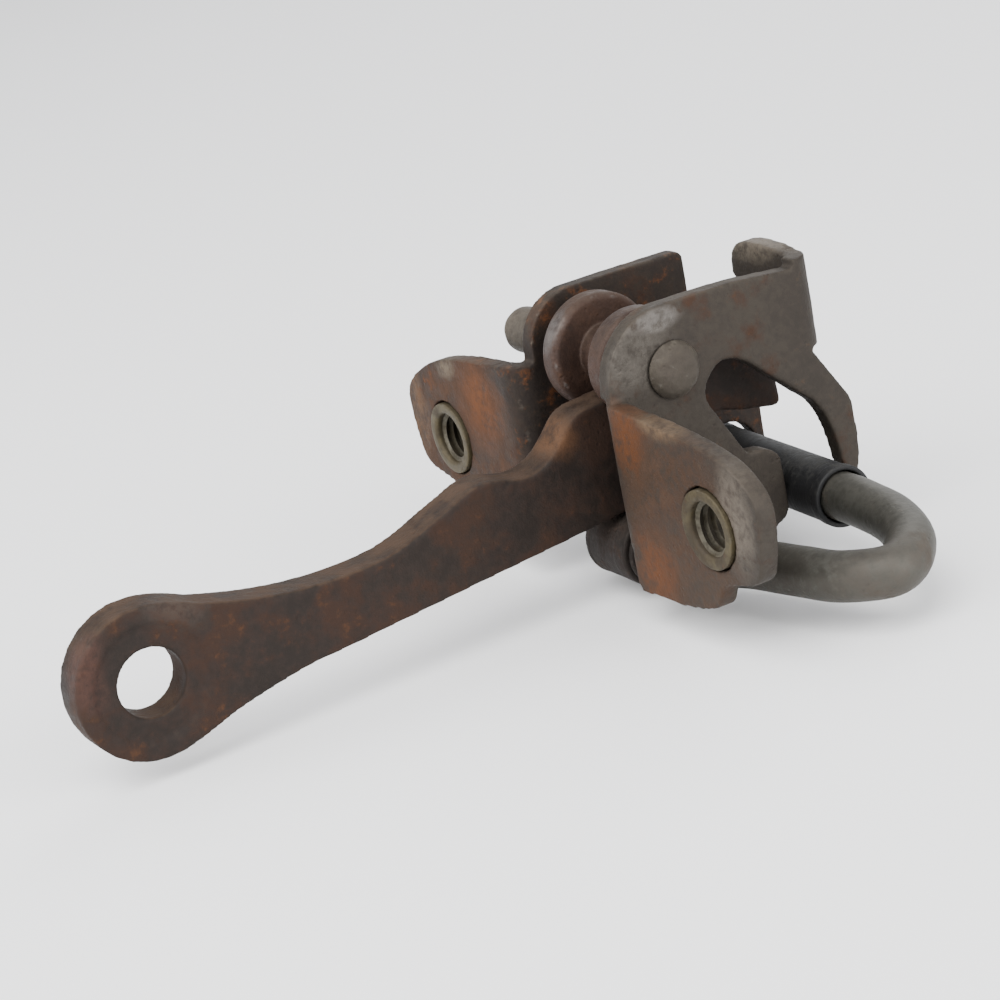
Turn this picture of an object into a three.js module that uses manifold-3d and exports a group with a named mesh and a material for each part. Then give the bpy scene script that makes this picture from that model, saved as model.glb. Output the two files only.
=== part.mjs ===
// Door check with a torsion-rod spring, the stay that stops and holds a car door.
// Two sheet-steel side plates bolt inside the door edge through their ears. A flat cam arm
// slides between a fixed roller above it and a sprung roller below it. The lower roller sits
// on the free leg of a hairpin torsion rod.
//
// Millimetres. Origin midway between the two ear inserts, on the ears' front face.
// +X points out of the door along the arm, +Y along the bolt line, +Z towards the fixed roller.
import * as THREE from 'three';
import { mergeVertices } from 'three/addons/utils/BufferGeometryUtils.js';
import Module from 'manifold-3d';

const wasm = await Module();
wasm.setup();

// ---- driving dimensions ----
const gap = 0.3;              // clearance left between touching or running pieces
const sheet = 3;              // plate thickness
const bendInside = 1;         // inside radius of every sheet bend
const wallGap = 23;           // between the inner faces of the two side walls
const boltSpacing = 72;       // between the two inserts, along Y

const insertBore = 4;         // radius, for an M8 bolt
const insertOuter = 5.75;
const insertDepth = 5.6;      // behind the ears' front face
const insertProud = 0.5;      // in front of it
const insertCollar = 6.9;     // radius of the collar behind the ear
const insertCollarThick = 1.2;

const nearEarTop = 13.8;      // where each ear meets its bend
const farEarTop = 15;
const earShoulder = 10.2;     // ear's height outside the bolt
const earTip = 12.8;          // how far the ear runs past the bolt centre
const earFoot = 14;           // lowest edge below the bolt line

const pinX = -11.7;           // fixed roller axis
const pinZ = 15.8;
const pinRadius = 2.6;
const studRadius = 3.6;       // far end of the pin, which anchors the rod
const studLength = 14;
const rivetHead = 4.2;
const rivetHeight = 2.2;

const flangeRadius = 8.7;     // fixed roller's flange at the far wall
const barrelRadius = 7.9;     // and its barrel at the near wall
const rollerFar = 7.4;        // the roller's ends from the arm's middle
const rollerNear = 8;
const trackPlay = 0.45;       // beside the arm in the fixed roller's track
const collarRadius = 5.2;     // distance collars beside the fixed roller
const collarChamfer = 0.3;

const armThick = 6.3;
const hookRise = 0.6;         // hook's top above the fixed roller's axis
const armSlope = 0.084;       // fall of the arm's lower edge per unit of X
const railZ = -7.27;          // height of that edge at X = 0
const armDeep = 17.5;         // height of the arm where it is clamped
const eyeAlong = 69.5;        // eye centre along the arm
const eyeUp = 7.7;            // and above its lower edge
const eyeRadius = 11.1;
const eyeHole = 4.95;
const coinRadius = 8.6;       // annular coining around the eye hole
const coinDepth = 0.5;

const rodRadius = 3.6;
const rodX = -32.7;           // rod's upper leg where it crosses the near wall
const rodZ = -9.05;
const rodLean = 0.1;          // upper leg's shift in X per unit of Y
const rodRise = 0.03;         // and its rise per unit of Y
const rodSplit = 2;           // Y where the anchored and the free halves meet
const sleeveWall = 0.7;
const sleeveNear = 22.4;      // sleeve ends along Y
const sleeveFar = -15.6;
const crankY = -20.5;         // plane of the anchored leg
const crankRun = 31;          // length of the anchored leg

const lowerAlong = -8;        // lower roller's place along the arm
const lowerWall = 1.7;        // its wall around the rod
const lowerNear = 6.3;        // its ends from the arm's middle
const lowerFar = 4.3;
const ringWall = 1.1;         // retaining rings around the rod
const ringThick = 0.9;
const rodStub = 1.1;          // rod's end past the far ring

const spacerX = -19.5;
const spacerZ = -10.7;
const spacerRadius = 3.6;
const spacerRivet = 2;
const rivetCap = 3.4;
const rivetCapHeight = 1.4;

const wallTop = 25.4;         // near wall's top edge
const farTop = 24.6;
const nearNose = -1;          // foremost X of each wall above its bend
const farNose = -3.9;
const nearNoseRadius = 10.4;  // rounding of each nose
const farNoseRadius = 8.2;
const wallFoot = -14.5;
const tabBack = -38.6;        // rear face of the near wall's bent tab
const tabReach = -3.4;        // its free edge along Y
const tabTop = 26.2;
const tabFall = 0.9;          // drop of its top edge towards the bend
const tabFoot = 19.8;         // its lower edge, clear of the arm's hook
const tabHeel = 11.4;         // lower end of its bend

const fine = 40;              // facets around a large round
const medium = 28;
const coarse = 20;

const innerY = wallGap / 2;
const outerY = innerY + sheet;
const bendOutside = bendInside + sheet;
const slideAngle = Math.atan(armSlope);
const trackHalf = armThick / 2 + trackPlay;
const lowerBarrel = rodRadius + gap + lowerWall;
const rodEnd = -(lowerFar + gap + ringThick + rodStub);

// ---- colours ----
const finishes = {
  plate: { color: 0x6a5c50, roughness: 0.75, metalness: 0.45 },
  arm: { color: 0x4a3226, roughness: 0.7, metalness: 0.4 },
  roller: { color: 0x5f4538, roughness: 0.55, metalness: 0.5 },
  rod: { color: 0x77736a, roughness: 0.5, metalness: 0.5 },
  sleeve: { color: 0x2b2b2d, roughness: 0.6, metalness: 0 },
  insert: { color: 0x8f8358, roughness: 0.45, metalness: 0.7 },
  pin: { color: 0x75695d, roughness: 0.5, metalness: 0.6 },
};

// ---- helpers ----
const vec2 = (x, y) => new THREE.Vector2(x, y);
const vec3 = (x, y, z) => new THREE.Vector3(x, y, z);

// Closed three.js geometry to a manifold solid.
function solid(geometry) {
  const bare = geometry.clone();
  bare.deleteAttribute('normal');
  bare.deleteAttribute('uv');
  const merged = mergeVertices(bare, 1e-4);
  const mesh = new wasm.Mesh({
    numProp: 3,
    vertProperties: new Float32Array(merged.attributes.position.array),
    triVerts: new Uint32Array(merged.index.array),
  });
  return new wasm.Manifold(mesh);
}

// Manifold solid back to a three.js geometry.
function geometryOf(manifold) {
  const mesh = manifold.getMesh();
  const geometry = new THREE.BufferGeometry();
  geometry.setAttribute('position', new THREE.BufferAttribute(mesh.vertProperties, 3));
  geometry.setIndex(new THREE.BufferAttribute(mesh.triVerts, 1));
  geometry.computeVertexNormals();
  return geometry;
}

function piece(name, manifold, finish) {
  const mesh = new THREE.Mesh(geometryOf(manifold), new THREE.MeshStandardMaterial(finishes[finish]));
  mesh.name = name;
  return mesh;
}

// Outline drawn in X and Z, filled from fromY to toY.
function slabXZ(shape, fromY, toY, curveSegments = 8) {
  const depth = toY - fromY;
  const geometry = new THREE.ExtrudeGeometry(shape, { depth, bevelEnabled: false, curveSegments });
  geometry.rotateX(Math.PI / 2);
  geometry.translate(0, toY, 0);
  return solid(geometry);
}

// Outline drawn in Y and Z, filled from fromX to toX.
function slabYZ(shape, fromX, toX, curveSegments = 8) {
  const depth = toX - fromX;
  const geometry = new THREE.ExtrudeGeometry(shape, { depth, bevelEnabled: false, curveSegments });
  geometry.applyMatrix4(new THREE.Matrix4().makeBasis(vec3(0, 1, 0), vec3(0, 0, 1), vec3(1, 0, 0)));
  geometry.translate(fromX, 0, 0);
  return solid(geometry);
}

// Outline drawn in X and Y, filled from fromZ to toZ.
function slabXY(shape, fromZ, toZ, curveSegments = 8) {
  const depth = toZ - fromZ;
  const geometry = new THREE.ExtrudeGeometry(shape, { depth, bevelEnabled: false, curveSegments });
  geometry.translate(0, 0, fromZ);
  return solid(geometry);
}

// Solid of revolution about a line along Y through (x, z). Profile points are [radius, y].
function turnY(profile, x, z, facets = medium) {
  const geometry = new THREE.LatheGeometry(profile.map(([r, y]) => vec2(r, y)), facets);
  geometry.translate(x, 0, z);
  return solid(geometry);
}

// Closed ring profile between an inner and an outer radius, with chamfered outer edges.
function ringProfile(inner, outer, fromY, toY, chamfer) {
  return [
    [inner, fromY], [outer - chamfer, fromY], [outer, fromY + chamfer],
    [outer, toY - chamfer], [outer - chamfer, toY], [inner, toY], [inner, fromY],
  ];
}

function cylinderY(radius, fromY, toY, x, z, facets = medium) {
  return turnY([[0, fromY], [radius, fromY], [radius, toY], [0, toY]], x, z, facets);
}

function cylinderX(radius, fromX, toX, y, z, facets = medium) {
  const geometry = new THREE.CylinderGeometry(radius, radius, toX - fromX, facets);
  geometry.rotateZ(Math.PI / 2);
  geometry.translate((fromX + toX) / 2, y, z);
  return solid(geometry);
}

// Round bar swept along a curve.
function bar(curve, radius, steps, sides = coarse) {
  const section = new THREE.Shape();
  section.absarc(0, 0, radius, 0, 2 * Math.PI, false);
  const options = { steps, extrudePath: curve, curveSegments: sides, bevelEnabled: false };
  return solid(new THREE.ExtrudeGeometry(section, options));
}

// World point of a place given along the arm and above its lower edge.
function onArm(along, up, y = 0) {
  const x = along * Math.cos(slideAngle) + up * Math.sin(slideAngle);
  const z = railZ - along * Math.sin(slideAngle) + up * Math.cos(slideAngle);
  return vec3(x, y, z);
}

// Point of the rod's upper leg at a given Y.
function onRod(y) {
  const past = y - (innerY + sheet / 2);
  return vec3(rodX + rodLean * past, y, rodZ + rodRise * past);
}

// ---- side plates ----
const sleeveRadius = rodRadius + gap + sleeveWall;
const slotHalf = sleeveRadius + gap + rodLean * sheet;
const lowerAxis = onArm(lowerAlong, -(lowerBarrel + gap));
const relief = lowerAxis.z + rodRadius + 1;       // walls are open below this, for the rod's free leg

// Quarter-round bend between a wall and its ear, on the +Y side.
function earBend(top) {
  const centreX = -sheet - bendInside;
  const centreY = outerY + bendInside;
  const shape = new THREE.Shape();
  shape.absarc(centreX, centreY, bendOutside, -Math.PI / 2, 0, false);
  shape.absarc(centreX, centreY, bendInside, 0, -Math.PI / 2, true);
  return slabXY(shape, relief, top, 6);
}

// Ear in the plane of the bolt face, on the +Y side.
function ear(top) {
  const boltY = boltSpacing / 2;
  const tip = boltY + earTip;
  const root = outerY + bendInside;
  const shape = new THREE.Shape();
  shape.moveTo(root, top);
  shape.lineTo(boltY - 10, top - 0.7);
  shape.quadraticCurveTo(boltY + 2, top - 1.8, boltY + 7, earShoulder);
  shape.quadraticCurveTo(tip - 0.6, earShoulder - 2.4, tip - 0.2, earShoulder - 5.8);
  shape.quadraticCurveTo(tip - 0.2, earShoulder - 9.8, tip - 1.8, earShoulder - 14.4);
  shape.quadraticCurveTo(tip - 2.4, earShoulder - 16.2, tip - 5, earShoulder - 16.8);
  shape.lineTo(boltY + 2.6, earShoulder - 17.9);
  shape.quadraticCurveTo(boltY + 1.2, earShoulder - 18.2, boltY + 0.6, earShoulder - 19.6);
  shape.lineTo(boltY - 0.3, -earFoot + 3);
  shape.quadraticCurveTo(boltY - 0.9, -earFoot + 1.9, boltY - 3.2, -earFoot + 1.5);
  shape.quadraticCurveTo(boltY - 7, -earFoot + 0.5, boltY - 12, -earFoot + 0.2);
  shape.lineTo(root - 0.2, -earFoot);
  shape.lineTo(root - 1.2, -earFoot + 1.2);
  shape.lineTo(root - 1.2, relief - gap);
  shape.lineTo(root, relief - gap);
  shape.closePath();
  const blank = slabYZ(shape, -sheet, 0);
  const hole = cylinderX(insertOuter + gap, -sheet - 1, 1, boltY, 0);
  return blank.subtract(hole);
}

// Front of a wall: from the relief up its bend, then over a rounded nose to the top edge.
function noseOutline(shape, earTop, nose, radius, top) {
  const centreX = nose - radius;
  const centreZ = top - radius;
  shape.moveTo(-sheet - bendInside, relief);
  shape.lineTo(-sheet - bendInside, earTop + gap);
  shape.lineTo(nose, earTop + gap);
  if (centreZ > earTop + gap) shape.lineTo(nose, centreZ);
  const from = Math.asin(Math.max(0, earTop + gap - centreZ) / radius);
  shape.absarc(centreX, centreZ, radius, from, Math.PI / 2, false);
}

// Lower front of a wall: the foot that carries the spacer, and the relief for the rod's free leg.
function footOutline(shape) {
  const reliefBack = lowerAxis.x - rodRadius - 1;
  shape.lineTo(spacerX - rivetCap - 1, wallFoot);
  shape.lineTo(reliefBack - 0.8, wallFoot);
  shape.lineTo(reliefBack, wallFoot + 0.8);
  shape.lineTo(reliefBack, relief - 1.6);
  shape.quadraticCurveTo(reliefBack + 0.1, relief, reliefBack + 1.6, relief);
  shape.closePath();
}

// Wall with a window behind the roller, a lobe and a leg that hold the rod's sleeve between them.
function nearWall() {
  const slotX = onRod(innerY + sheet / 2).x;
  const slotFront = slotX + slotHalf;
  const slotBack = slotX - slotHalf;
  const legBack = slotBack - 3.6;
  const shape = new THREE.Shape();
  noseOutline(shape, nearEarTop, nearNose, nearNoseRadius, wallTop);
  shape.lineTo(-24, wallTop - 0.3);
  shape.lineTo(tabBack + bendOutside, wallTop - 1.4);
  shape.lineTo(tabBack + bendOutside, tabHeel + 0.4);
  shape.lineTo(tabBack + bendOutside - 1.3, tabHeel - 0.4);
  shape.lineTo(legBack + 0.5, rodZ + 11.6);
  shape.quadraticCurveTo(legBack, rodZ + 10.2, legBack, rodZ + 5.6);
  shape.quadraticCurveTo(legBack + 0.2, rodZ + 0.6, legBack + 1.5, rodZ - 0.8);
  shape.quadraticCurveTo(slotBack - 1, rodZ - 1, slotBack, rodZ + 2.6);
  shape.quadraticCurveTo(slotBack + 0.6, rodZ + 9.2, slotBack + 3.4, rodZ + 12.8);
  shape.lineTo(-24.8, rodZ + 21.5);
  shape.quadraticCurveTo(-20.4, rodZ + 25.2, -17.6, rodZ + 21.8);
  shape.quadraticCurveTo(-16, rodZ + 20.2, -16.8, rodZ + 17.8);
  shape.lineTo(-21.8, rodZ + 8.7);
  shape.quadraticCurveTo(slotFront + 1.6, rodZ + 8.9, slotFront + 0.3, rodZ + 6.6);
  shape.quadraticCurveTo(slotFront - 0.1, rodZ + 4, slotFront, rodZ - 1.2);
  shape.quadraticCurveTo(slotFront + 0.4, rodZ - 3.2, slotFront + 2.4, rodZ - 3.4);
  shape.quadraticCurveTo(spacerX - rivetCap - 1.4, rodZ - 4.4, spacerX - rivetCap - 1, wallFoot);
  footOutline(shape);
  return slabXZ(shape, innerY, outerY);
}

// Far wall: no window and no tab, and a plain hole for the sleeve.
function farWall() {
  const hole = onRod(-(innerY + sheet / 2));
  const legBack = hole.x - slotHalf - 1.6;
  const legFoot = hole.z - slotHalf - 1.6;
  const shape = new THREE.Shape();
  noseOutline(shape, farEarTop, farNose, farNoseRadius, farTop);
  shape.lineTo(-31, farTop - 0.2);
  shape.quadraticCurveTo(-32.5, farTop - 0.3, -32.5, farTop - 1.8);
  shape.lineTo(-32.5, rodZ + 18);
  shape.lineTo(legBack, rodZ + 5.4);
  shape.lineTo(legBack, rodZ - 2.4);
  shape.quadraticCurveTo(legBack + 0.6, legFoot, hole.x, legFoot);
  shape.lineTo(spacerX - rivetCap - 4.2, legFoot);
  footOutline(shape);
  const blank = slabXZ(shape, -outerY, -innerY);
  return blank.subtract(cylinderY(slotHalf, -outerY - 1, -innerY + 1, hole.x, hole.z));
}

// Tab bent inwards from the rear of the near wall, standing a little above it.
function rearTab() {
  const centreX = tabBack + bendOutside;
  const centreY = outerY - bendOutside;
  const corner = 5;
  const bend = new THREE.Shape();
  bend.absarc(centreX, centreY, bendOutside, Math.PI / 2, Math.PI, false);
  bend.absarc(centreX, centreY, bendInside, Math.PI, Math.PI / 2, true);
  const flat = new THREE.Shape();
  const archEdge = armThick / 2 + 1.4;            // the lower edge arches over the arm's hook
  flat.moveTo(centreY, tabHeel);
  flat.lineTo(centreY, tabTop - tabFall);
  flat.quadraticCurveTo(centreY - 3, tabTop, centreY - 7, tabTop);
  flat.lineTo(tabReach + corner, tabTop);
  flat.quadraticCurveTo(tabReach, tabTop, tabReach, tabTop - corner);
  flat.lineTo(tabReach, tabFoot + 1.2);
  flat.lineTo(tabReach + 1.2, tabFoot);
  flat.lineTo(archEdge, tabFoot);
  flat.quadraticCurveTo(centreY - 2.6, tabFoot - 0.6, centreY - 1.4, tabHeel + 2.4);
  flat.lineTo(centreY - 1, tabHeel);
  flat.closePath();
  return slabXY(bend, tabHeel, tabTop - tabFall, 6).add(slabYZ(flat, tabBack, tabBack + sheet));
}

// Pin and spacer rivet holes through a wall.
function wallHoles(fromY, toY) {
  const pinHole = cylinderY(pinRadius + gap, fromY, toY, pinX, pinZ);
  const rivetHole = cylinderY(spacerRivet + gap, fromY, toY, spacerX, spacerZ);
  return pinHole.add(rivetHole);
}

function nearPlate() {
  const sheetMetal = nearWall().add(earBend(nearEarTop)).add(ear(nearEarTop)).add(rearTab());
  return sheetMetal.subtract(wallHoles(innerY - 1, outerY + 1));
}

function farPlate() {
  const mirrored = earBend(farEarTop).add(ear(farEarTop)).mirror([0, 1, 0]);
  return farWall().add(mirrored).subtract(wallHoles(-outerY - 1, -innerY + 1));
}

// ---- fasteners and rollers ----
function threadedInsert(boltY) {
  const collarBack = -sheet - gap - insertCollarThick;
  const body = cylinderX(insertOuter, -insertDepth, insertProud, boltY, 0, fine);
  const collar = cylinderX(insertCollar, collarBack, -sheet - gap, boltY, 0, fine);
  const bore = cylinderX(insertBore, -insertDepth - 1, insertProud + 1, boltY, 0, fine);
  return body.add(collar).subtract(bore);
}

function rollerPin() {
  const head = outerY + gap;
  const dome = 1.6;
  const profile = [
    [0, -head - studLength], [studRadius - dome, -head - studLength],
    [studRadius - 0.4, -head - studLength + dome * 0.5], [studRadius, -head - studLength + dome],
    [studRadius, -head], [pinRadius, -head], [pinRadius, head], [rivetHead, head],
    [rivetHead, head + rivetHeight * 0.35], [rivetHead * 0.8, head + rivetHeight * 0.8],
    [rivetHead * 0.4, head + rivetHeight], [0, head + rivetHeight],
  ];
  return turnY(profile, pinX, pinZ);
}

// The fixed roller's axis, along the arm and above its lower edge.
const pinAlong = pinX * Math.cos(slideAngle) - (pinZ - railZ) * Math.sin(slideAngle);
const pinUp = pinX * Math.sin(slideAngle) + (pinZ - railZ) * Math.cos(slideAngle);
const trackRadius = pinUp - armDeep - gap;        // it runs on the arm's clamped stretch

// Spool: a flange at the far wall, a track around the arm, and a barrel at the near wall.
function upperRoller() {
  const bore = pinRadius + gap;
  const chamfer = 0.7;
  const profile = [
    [bore, -rollerFar], [flangeRadius - chamfer, -rollerFar], [flangeRadius, -rollerFar + chamfer],
    [flangeRadius, -trackHalf - chamfer], [flangeRadius - chamfer, -trackHalf], [trackRadius, -trackHalf],
    [trackRadius, trackHalf], [barrelRadius - chamfer, trackHalf], [barrelRadius, trackHalf + chamfer],
    [barrelRadius, rollerNear - chamfer], [barrelRadius - chamfer, rollerNear], [bore, rollerNear],
    [bore, -rollerFar],
  ];
  return turnY(profile, pinX, pinZ, fine);
}

// Plain barrel on the rod's free leg.
function lowerRoller() {
  const profile = ringProfile(rodRadius + gap, lowerBarrel, -lowerFar, lowerNear, 0.5);
  return turnY(profile, lowerAxis.x, lowerAxis.z, fine);
}

// Collar that fills the pin between the fixed roller and a wall.
function distanceCollar(side) {
  const start = (side > 0 ? rollerNear : rollerFar) + gap;
  const profile = ringProfile(pinRadius + gap, collarRadius, start, innerY - gap, collarChamfer);
  const collar = turnY(profile, pinX, pinZ);
  return side > 0 ? collar : collar.mirror([0, 1, 0]);
}

// Open retaining ring beside the lower roller.
function retainingRing(side) {
  const near = (side > 0 ? lowerNear : lowerFar) + gap;
  const profile = ringProfile(rodRadius + gap, rodRadius + gap + ringWall, near, near + ringThick, 0.2);
  const ring = turnY(profile, lowerAxis.x, lowerAxis.z);
  const mouth = new THREE.BoxGeometry(3, 4, rodRadius + 4);
  mouth.translate(lowerAxis.x, near, lowerAxis.z - rodRadius);
  const open = ring.subtract(solid(mouth));
  return side > 0 ? open : open.mirror([0, 1, 0]);
}

function spacerTube() {
  const half = innerY - gap;
  const profile = ringProfile(spacerRivet + gap, spacerRadius, -half, half, 0.3);
  return turnY(profile, spacerX, spacerZ);
}

function spacerRivetSolid() {
  const seat = outerY + gap;
  const end = seat + rivetCapHeight;
  const profile = [
    [0, -end], [rivetCap * 0.6, -end], [rivetCap, -seat - 0.4], [rivetCap, -seat],
    [spacerRivet, -seat], [spacerRivet, seat], [rivetCap, seat], [rivetCap, seat + 0.4],
    [rivetCap * 0.6, end], [0, end],
  ];
  return turnY(profile, spacerX, spacerZ);
}

// ---- torsion rod ----
// Free half: from the middle of the sleeve, round the U-bend and back under the arm.
function rodHairpin() {
  const x = lowerAxis.x;
  const z = lowerAxis.z;
  const start = onRod(rodSplit + gap / 2);
  const route = new THREE.CatmullRomCurve3([
    start, onRod(10), onRod(20), onRod(28), vec3(-30.3, 36, rodZ), vec3(-27, 43.4, rodZ - 0.8),
    vec3(-21.3, 47.2, rodZ - 1.6), vec3(-16.3, 42, rodZ - 2.2), vec3(-14.3, 34, rodZ - 2.5),
    vec3(x - 4.2, 25, z + 0.5), vec3(x - 0.6, 16, z + 0.2), vec3(x, innerY, z), vec3(x, 4, z), vec3(x, rodEnd, z),
  ], false, 'centripetal');
  return bar(route, rodRadius, 54);
}

// Anchored half: out through the far wall and up behind the pin's stud.
function rodAnchor() {
  const elbow = onRod(crankY);
  const reachX = pinX - elbow.x;
  const reachZ = pinZ - elbow.z;
  const clear = rodRadius + studRadius + gap;
  const angle = Math.atan2(reachZ, reachX) + Math.asin(clear / Math.hypot(reachX, reachZ));
  const along = (d) => vec3(elbow.x + d * Math.cos(angle), crankY, elbow.z + d * Math.sin(angle));
  const start = onRod(rodSplit - gap / 2);
  const route = new THREE.CatmullRomCurve3([
    start, onRod(-6), onRod(-13), onRod(-16.4),
    vec3(elbow.x + 1.4 * Math.cos(angle), crankY + 1.2, elbow.z + 1.4 * Math.sin(angle)),
    along(5), along(14), along(crankRun),
  ], false, 'centripetal');
  return bar(route, rodRadius, 34);
}

function rodSleeve() {
  const start = onRod(sleeveFar);
  const end = onRod(sleeveNear);
  const length = start.distanceTo(end);
  const profile = ringProfile(rodRadius + gap, sleeveRadius, 0, length, 0.25);
  const geometry = new THREE.LatheGeometry(profile.map(([r, y]) => vec2(r, y)), medium);
  const turn = new THREE.Quaternion().setFromUnitVectors(vec3(0, 1, 0), end.clone().sub(start).normalize());
  geometry.applyQuaternion(turn);
  geometry.translate(start.x, start.y, start.z);
  return solid(geometry);
}

// ---- arm ----
// Outline along the arm (first coordinate) and above its lower edge (second).
function armOutline() {
  const hook = pinAlong - trackRadius - gap;
  const shape = new THREE.Shape();
  shape.moveTo(hook + 1.6, 0);
  shape.lineTo(eyeAlong - 22.5, 0);
  shape.quadraticCurveTo(eyeAlong - 15.5, -0.4, eyeAlong - 9.5, -1.5);
  shape.quadraticCurveTo(eyeAlong - 5.5, -2.6, eyeAlong - 2.2, eyeUp - eyeRadius + 0.2);
  shape.absarc(eyeAlong, eyeUp, eyeRadius, -Math.PI * 0.55, Math.PI * 0.56, false);
  shape.quadraticCurveTo(eyeAlong - 5.5, 18, eyeAlong - 9.7, 15.5);
  shape.quadraticCurveTo(eyeAlong - 16.5, 12.6, eyeAlong - 23.9, 11);
  shape.quadraticCurveTo(eyeAlong - 31.5, 9.5, 31.5, 9.8);
  shape.quadraticCurveTo(28, 10.1, 24.2, 11.4);
  shape.lineTo(18.6, 13);
  shape.quadraticCurveTo(14.9, 14.4, 11.8, 13.1);
  shape.quadraticCurveTo(7.6, 10.8, 3.8, 12.4);
  shape.quadraticCurveTo(1.4, 13.6, -0.3, 15.6);
  shape.quadraticCurveTo(-2.2, armDeep, -4.3, armDeep);
  shape.lineTo(hook, armDeep);
  shape.lineTo(hook - 0.4, pinUp + hookRise - 1.2);
  shape.quadraticCurveTo(hook - 0.6, pinUp + hookRise, hook - 2.4, pinUp + hookRise);
  shape.lineTo(-33, armDeep + 1.2);
  shape.quadraticCurveTo(-36.4, armDeep - 0.4, -36.8, armDeep - 4);
  shape.lineTo(-37, 6.4);
  shape.quadraticCurveTo(-37, 5, -35.6, 5.2);
  shape.lineTo(-30.7, 6.6);
  shape.lineTo(-26.4, 8.2);
  shape.quadraticCurveTo(-23.4, 8.8, -21.6, 5.4);
  shape.quadraticCurveTo(-19.4, 0.4, hook + 1.6, 0);
  return shape;
}

function arm() {
  const half = armThick / 2;
  const blank = slabXZ(armOutline(), -half, half, 7);
  const hole = cylinderY(eyeHole, -half - 1, half + 1, eyeAlong, eyeUp, fine);
  const coin = ringProfile(eyeHole - 0.5, coinRadius, half - coinDepth, half + 1, 0);
  const nearCoin = turnY(coin, eyeAlong, eyeUp, fine);
  return blank.subtract(hole).subtract(nearCoin).subtract(nearCoin.mirror([0, 1, 0]));
}

// ---- assembly ----
const doorCheck = new THREE.Group();

const housing = new THREE.Group();
housing.add(piece('near_plate', nearPlate(), 'plate'));
housing.add(piece('far_plate', farPlate(), 'plate'));
housing.add(piece('near_insert', threadedInsert(boltSpacing / 2), 'insert'));
housing.add(piece('far_insert', threadedInsert(-boltSpacing / 2), 'insert'));
housing.add(piece('roller_pin', rollerPin(), 'pin'));
housing.add(piece('near_distance_collar', distanceCollar(1), 'plate'));
housing.add(piece('far_distance_collar', distanceCollar(-1), 'plate'));
housing.add(piece('spacer_tube', spacerTube(), 'plate'));
housing.add(piece('spacer_rivet', spacerRivetSolid(), 'pin'));
housing.add(piece('rod_sleeve', rodSleeve(), 'sleeve'));
housing.add(piece('rod_anchor_leg', rodAnchor(), 'rod'));
doorCheck.add(housing);

doorCheck.add(piece('upper_roller', upperRoller(), 'roller'));

const spring = new THREE.Group();
spring.add(piece('rod_hairpin', rodHairpin(), 'rod'));
spring.add(piece('near_retaining_ring', retainingRing(1), 'pin'));
spring.add(piece('far_retaining_ring', retainingRing(-1), 'pin'));
spring.add(piece('lower_roller', lowerRoller(), 'roller'));
doorCheck.add(spring);

const slide = new THREE.Group();
slide.position.set(0, 0, railZ);
slide.rotation.y = slideAngle;
slide.add(piece('check_arm', arm(), 'arm'));
doorCheck.add(slide);

export default doorCheck;
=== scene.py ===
"""Looks of a car door check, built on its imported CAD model.

Two pressed steel side plates bolt inside the door edge through their ears. A flat cam arm slides
between a fixed spool roller above it and a sprung plain roller below it, which sits on the free leg
of a hairpin torsion rod. Metres, in the CAD model's own frame: +X along the arm to its eye,
+Y along the bolt line to the rod's bend, +Z to the fixed roller.
"""

import logging
import math
from collections.abc import Callable, Sequence
from dataclasses import dataclass
from enum import Enum

import bpy
from mathutils import Matrix, Vector


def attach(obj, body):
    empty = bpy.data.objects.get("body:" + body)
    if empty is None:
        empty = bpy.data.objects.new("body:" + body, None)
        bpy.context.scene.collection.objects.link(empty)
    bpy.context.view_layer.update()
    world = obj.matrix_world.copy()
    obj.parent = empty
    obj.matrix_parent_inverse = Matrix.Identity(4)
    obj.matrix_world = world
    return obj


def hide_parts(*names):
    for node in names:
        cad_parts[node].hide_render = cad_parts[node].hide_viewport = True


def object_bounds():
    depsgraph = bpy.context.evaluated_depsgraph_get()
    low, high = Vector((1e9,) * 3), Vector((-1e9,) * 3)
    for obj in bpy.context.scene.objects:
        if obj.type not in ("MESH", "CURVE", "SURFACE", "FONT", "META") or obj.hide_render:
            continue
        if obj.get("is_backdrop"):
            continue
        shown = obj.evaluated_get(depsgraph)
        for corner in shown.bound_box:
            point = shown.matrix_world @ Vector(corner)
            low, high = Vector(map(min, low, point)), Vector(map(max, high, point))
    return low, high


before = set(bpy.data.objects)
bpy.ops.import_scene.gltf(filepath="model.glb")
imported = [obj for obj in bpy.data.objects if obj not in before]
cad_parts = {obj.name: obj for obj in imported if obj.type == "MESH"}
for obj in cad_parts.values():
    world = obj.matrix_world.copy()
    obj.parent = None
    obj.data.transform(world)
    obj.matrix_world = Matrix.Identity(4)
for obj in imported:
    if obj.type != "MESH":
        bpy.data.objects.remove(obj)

LOG = logging.getLogger("door_check")
MM = 0.001
RING_SPACING = 0.6 * MM
BROAD_SIZE = 14 * MM
BLOTCH_SIZE = 4.2 * MM
SPECK_SIZE = 1.1 * MM
GRIT_SIZE = 0.35 * MM
PIT_SPACING = 1.1 * MM

Colour = tuple[float, float, float]
Point = tuple[float, float, float]
Station = tuple[float, float]


class Body(Enum):
    """The CAD bodies that a piece can ride on."""

    HOUSING = "housing"
    FIXED_ROLLER = "fixed_roller"
    FREE_ROD = "free_rod"
    SPRUNG_ROLLER = "sprung_roller"
    ARM = "arm"


class Slot(Enum):
    """The record's material slots."""

    PLATE = "plate_steel"
    ARM = "arm_steel"
    ROLLER = "roller_steel"
    ROD = "rod_steel"
    PIN = "pin_steel"
    INSERT = "insert_zinc"
    SLEEVE = "sleeve_rubber"


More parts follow.
